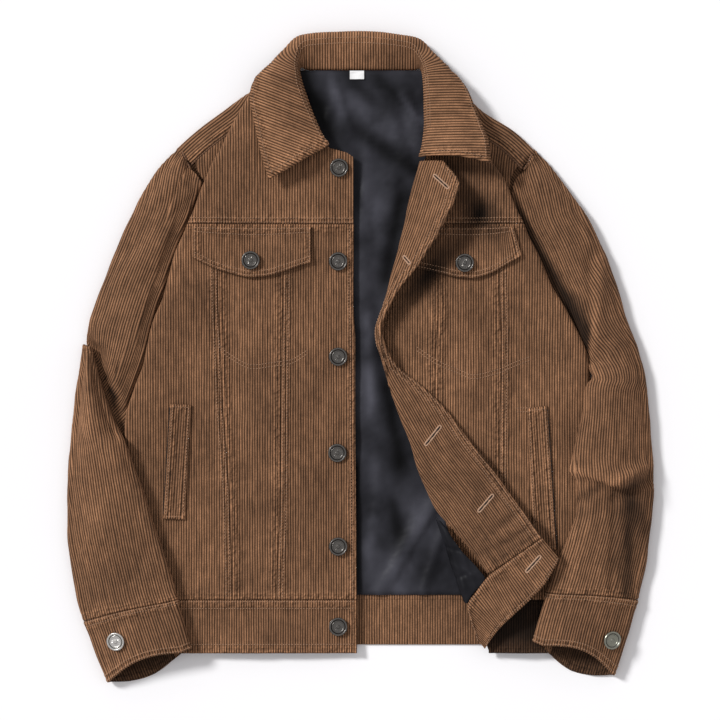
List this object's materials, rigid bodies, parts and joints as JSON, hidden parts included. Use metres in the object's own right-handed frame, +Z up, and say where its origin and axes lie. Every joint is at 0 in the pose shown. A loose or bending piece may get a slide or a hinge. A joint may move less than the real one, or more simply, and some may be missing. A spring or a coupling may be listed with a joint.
{
  "type": "corduroy jacket",
  "caption": "Brown corduroy trucker jacket laid flat on its back, its left front turned back over itself to show the facing and a dark satin lining.",
  "frame": {"origin": "centre of the jacket's bounding box on the surface that it lies on", "axes": "+Z up from the surface; +Y from the hem towards the collar; the wearer's right is at -X"},
  "size_m": [0.659, 0.7314, 0.041],
  "materials": {
    "corduroy": "ribbed",
    "lining": "satin",
    "label": "matt",
    "button_dark": "dark metal",
    "button_silver": "polished"
  },
  "bodies": {
    "root": {"back": "corduroy", "back_waistband": "corduroy", "back_yoke": "corduroy", "collar": "corduroy", "left_band_end": "corduroy", "left_centre_panel": "corduroy", "left_cuff": "corduroy", "left_facing": "corduroy", "left_flap": "corduroy", "left_middle_panel": "corduroy", "left_side_panel": "corduroy", "left_sleeve_forearm": "corduroy", "left_sleeve_upper": "corduroy", "left_waistband": "corduroy", "left_welt": "corduroy", "left_yoke": "corduroy", "right_centre_panel": "corduroy", "right_cuff": "corduroy", "right_flap": "corduroy", "right_middle_panel": "corduroy", "right_side_panel": "corduroy", "right_sleeve_forearm": "corduroy", "right_sleeve_upper": "corduroy", "right_waistband": "corduroy", "right_welt": "corduroy", "right_yoke": "corduroy", "back_lining": "lining", "left_lining": "lining", "neck_label": "label", "front_button_1": "button_dark", "front_button_2": "button_dark", "front_button_3": "button_dark", "front_button_4": "button_dark", "front_button_5": "button_dark", "front_button_6": "button_dark", "left_flap_button": "button_dark", "right_flap_button": "button_dark", "left_cuff_button": "button_silver", "right_cuff_button": "button_silver"}
  },
  "joints": []
}
